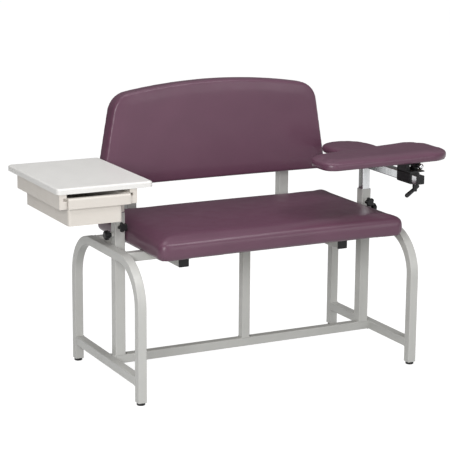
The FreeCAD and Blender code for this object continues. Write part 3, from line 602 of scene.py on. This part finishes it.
def weld_bead(name, centre, normal, width, height):
    """A rippled bead round a rectangle, whose width and height lie along the two axes other than normal."""
    axes = [i for i in (X, Y, Z) if i != normal]
    outline = soft_outline(rectangle(width, height), [BEAD_CORNER] * 4, [0] * 4, BEAD_STEP)
    count = len(outline)
    travel = np.concatenate([[0], np.cumsum(np.linalg.norm(np.diff(outline, axis=0), axis=1))])
    vertices, faces = [], []
    for i, (point, out) in enumerate(zip(outline, outward_normals(outline))):
        j = (i + 1) % count
        size = BEAD_RADIUS + BEAD_RIPPLE * math.cos(2 * math.pi * travel[i] / BEAD_PITCH)
        for k in range(BEAD_SIDES):
            m = (k + 1) % BEAD_SIDES
            t = 2 * math.pi * k / BEAD_SIDES
            spot = np.array(centre, float)
            spot[axes] += point + out * size * math.cos(t)
            spot[normal] += size * math.sin(t)
            vertices.append(at(*spot))
            faces.append((i * BEAD_SIDES + k, j * BEAD_SIDES + k, j * BEAD_SIDES + m, i * BEAD_SIDES + m))
    piece = mesh_piece(name, vertices, faces, paint, "base")


def weld_places():
    """Each welded joint's centre, the axis that it faces along, and its width and height."""
    inner_x = (FRAME_SPACING - TUBE) / 2
    leg_face = (LEG_SPACING - TUBE) / 2
    rail_face = (RAIL_SPACING - TUBE) / 2
    rail_bottom = FRAME_TOP - TUBE
    rail_middle = FRAME_TOP - TUBE / 2
    stretcher_top = STRETCHER_HEIGHT + TUBE / 2
    post_x = inner_x - POST_INSET - POST / 2
    places = []
    for s in (-1, 1):
        places.append(((s * inner_x, 0, STRETCHER_HEIGHT), X, TUBE, TUBE))
        for t in (-1, 1):
            rail_y = t * RAIL_SPACING / 2
            places.append(((s * FRAME_SPACING / 2, t * leg_face, STRETCHER_HEIGHT), Y, TUBE, TUBE))
            places.append(((s * inner_x, rail_y, rail_middle), X, TUBE, TUBE))
            places.append(((s * SUPPORT_SPACING / 2, rail_y, rail_bottom), Z, POST, TUBE))
        places.append(((s * post_x, 0, stretcher_top), Z, POST, TUBE))
        places.append(((0, s * rail_face, rail_middle), Y, TUBE, TUBE))
    places.append(((0, 0, stretcher_top), Z, TUBE, TUBE))
    places.append(((0, 0, rail_bottom), Z, TUBE, TUBE))
    return places


for index, (centre, normal, width, height) in enumerate(weld_places()):
    weld_bead(f"weld_{index:02d}", centre, normal, width, height)


# Floor and mirror cards, in metres in the row frame

FLOOR_REACH = 60.0


def lying(left, right, front, rear, height):
    return [(left, front, height), (right, front, height), (right, rear, height), (left, rear, height)]


def standing(start, finish, top):
    return [(*start, 0), (*finish, 0), (*finish, top), (*start, top)]


def stage_plane(name, corners, shade):
    mesh = bpy.data.meshes.new(name)
    mesh.from_pydata(corners, [], [(0, 1, 2, 3)])
    mesh.materials.append(shade.material)
    plane = bpy.data.objects.new(name, mesh)
    scene.collection.objects.link(plane)
    return plane


def mirror_card(name, corners, grey):
    """A grey card that only polished surfaces show."""
    card = stage_plane(name, corners, Shade(name, (grey, grey, grey), roughness=0.9, specular=0.0))
    card.visible_camera = card.visible_diffuse = card.visible_shadow = False
    card.visible_transmission = card.visible_volume_scatter = False


floor_shade = Shade("floor", (0.3, 0.3, 0.3), roughness=0.8, specular=0.0)
floor_shade.vary(share=0.005, scale=2)
floor_shade.glow_when_seen(0.9)
stage_plane("floor", lying(-FLOOR_REACH, FLOOR_REACH, -FLOOR_REACH, FLOOR_REACH, 0), floor_shade)

mirror_card("side_card", standing((-2.7, -1.2), (-2.7, 5.0), top=2.6), grey=0.04)
mirror_card("rear_card", standing((-0.86, 2.1), (-0.2, 2.1), top=0.9), grey=0.03)
mirror_card("far_card", standing((-5, 4.2), (6, 4.2), top=3.2), grey=0.25)
mirror_card("floor_card", lying(left=1.9, right=6, front=-7, rear=-3.1, height=0.01), grey=0.04)


# Lights, in metres in the row frame

WORLD_STRENGTH = 0.40

world = bpy.data.worlds.new("studio")
world.use_nodes = True
background = world.node_tree.nodes["Background"]
background.inputs["Color"].default_value = (1, 1, 1, 1)
background.inputs["Strength"].default_value = WORLD_STRENGTH
scene.world = world


def softbox(name, place, target, width, height, power):
    light = bpy.data.lights.new(name, "AREA")
    light.shape = "RECTANGLE"
    light.size = width
    light.size_y = height
    light.energy = power
    holder = bpy.data.objects.new(name, light)
    holder.location = place
    holder.rotation_euler = (Vector(target) - Vector(place)).to_track_quat("-Z", "Y").to_euler()
    scene.collection.objects.link(holder)


softbox("key", place=(-2.8, -3.4, 1.9), target=(-0.2, 0, 0.6), width=1.8, height=1.8, power=132)
softbox("fill", place=(2.4, -4.2, 1.5), target=(0.2, 0, 0.4), width=2.4, height=1.6, power=30)
softbox("top", place=(-0.5, 0.2, 4.2), target=(-0.2, 0, 0.3), width=3.0, height=2.6, power=46)
softbox("strip", place=(0.9, -1.6, 3.0), target=(-0.3, -0.3, 0.5), width=1.2, height=0.7, power=24)


# Camera, as fitted to the photo

YAW, PITCH, ROLL = math.radians(26.95), math.radians(12.83), math.radians(0.45)
CAMERA_PLACE = (-2754.7, -5256.6, 1869.2)       # in the chair's own millimetres
FOCAL_LENGTH_PX = 1675.7
PHOTO_WIDTH_PX = 450
SENSOR_WIDTH = 36.0

forward = Vector((math.sin(YAW) * math.cos(PITCH), math.cos(YAW) * math.cos(PITCH), -math.sin(PITCH)))
right = Vector((math.cos(YAW), -math.sin(YAW), 0))
up = right.cross(forward)
right_rolled = right * math.cos(ROLL) + up * math.sin(ROLL)
up_rolled = up * math.cos(ROLL) - right * math.sin(ROLL)

camera_data = bpy.data.cameras.new("camera")
camera_data.sensor_width = SENSOR_WIDTH
camera_data.lens = FOCAL_LENGTH_PX / PHOTO_WIDTH_PX * SENSOR_WIDTH
camera = bpy.data.objects.new("camera", camera_data)
camera_turn = Matrix((right_rolled, up_rolled, -forward)).transposed().to_4x4()
camera.matrix_world = Matrix.Translation(at(*CAMERA_PLACE)) @ camera_turn
scene.collection.objects.link(camera)
scene.camera = camera

bpy.context.view_layer.update()
